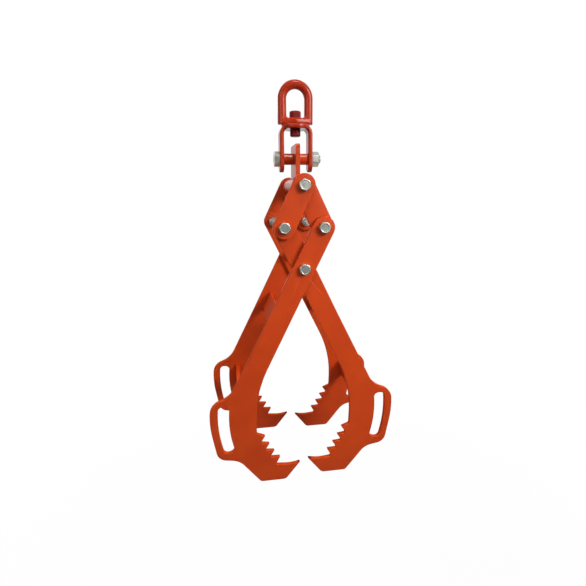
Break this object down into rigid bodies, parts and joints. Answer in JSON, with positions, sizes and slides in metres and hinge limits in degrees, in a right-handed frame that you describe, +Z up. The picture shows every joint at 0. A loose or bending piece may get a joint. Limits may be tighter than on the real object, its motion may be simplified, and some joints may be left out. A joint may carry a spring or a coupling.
{
  "type": "lifting tongs",
  "caption": "Scissor lifting tongs with toothed plate claws in front and back pairs, handle slots, and a swivel eye on a fork; the claws close on a log as they are lifted.",
  "frame": {"origin": "top of the eye's opening, where a hook bears, midway between the front and back claws", "axes": "+Z up along the swivel, +X the way the right claws open, -Y the front"},
  "size_m": [0.3534, 0.2129, 0.7409],
  "materials": {
    "plate_paint": "semi-gloss powder coat",
    "swivel_paint": "semi-gloss paint on forged steel",
    "zinc_plate": "bright zinc plating"
  },
  "bodies": {
    "eye": {"swivel_eye": "swivel_paint", "swivel_pin": "swivel_paint", "swivel_pin_nut": "swivel_paint"},
    "fork": {"swivel_fork": "swivel_paint", "clevis_bolt": "zinc_plate", "clevis_nut": "zinc_plate", "clevis_spacer_left": "plate_paint", "clevis_spacer_right": "plate_paint"},
    "hanger": {"hanger_plate": "plate_paint", "top_cross_tube": "plate_paint", "top_pivot_bolt": "zinc_plate", "top_pivot_nut": "zinc_plate"},
    "left_links": {"left_link_front": "plate_paint", "left_link_back": "plate_paint", "left_pivot_bolts": "zinc_plate", "left_pivot_nuts": "zinc_plate"},
    "right_links": {"right_link_front": "plate_paint", "right_link_back": "plate_paint", "right_pivot_bolts": "zinc_plate", "right_pivot_nuts": "zinc_plate"},
    "left_claws": {"left_claw_front": "plate_paint", "left_claw_back": "plate_paint", "left_upper_cross_bar": "plate_paint", "left_lower_cross_bar": "plate_paint", "centre_pivot_bolts": "zinc_plate", "centre_pivot_nuts": "zinc_plate"},
    "right_claws": {"right_claw_front": "plate_paint", "right_claw_back": "plate_paint", "right_upper_cross_bar": "plate_paint", "right_lower_cross_bar": "plate_paint"}
  },
  "joints": [
    {"name": "eye_swivel", "type": "hinge", "parent": "eye", "child": "fork", "pos_m": [0, 0, 0], "axis": [0, 0, 1], "continuous": true},
    {"name": "fork_swing", "type": "hinge", "parent": "fork", "child": "hanger", "pos_m": [0, 0, -0.1183], "axis": [1, 0, 0], "range_deg": [-80, 80]},
    {"name": "tongs_open", "type": "hinge", "parent": "hanger", "child": "left_links", "pos_m": [0, 0, -0.1663], "axis": [0, 1, 0], "range_deg": [0, 45]},
    {"name": "right_link_turn", "type": "hinge", "parent": "hanger", "child": "right_links", "pos_m": [0, 0, -0.1663], "axis": [0, 1, 0], "range_deg": [-45, 0]},
    {"name": "right_claw_turn", "type": "hinge", "parent": "left_links", "child": "right_claws", "pos_m": [-0.03428, 0, -0.23659], "axis": [0, 1, 0], "range_deg": [-90, 0]},
    {"name": "left_claw_turn", "type": "hinge", "parent": "right_links", "child": "left_claws", "pos_m": [0.03428, 0, -0.23659], "axis": [0, 1, 0], "range_deg": [0, 90]}
  ],
  "couplings": [
    {"joint": "right_link_turn", "follows": "tongs_open", "ratio": -1},
    {"joint": "right_claw_turn", "follows": "tongs_open", "ratio": -2},
    {"joint": "left_claw_turn", "follows": "tongs_open", "ratio": 2}
  ]
}
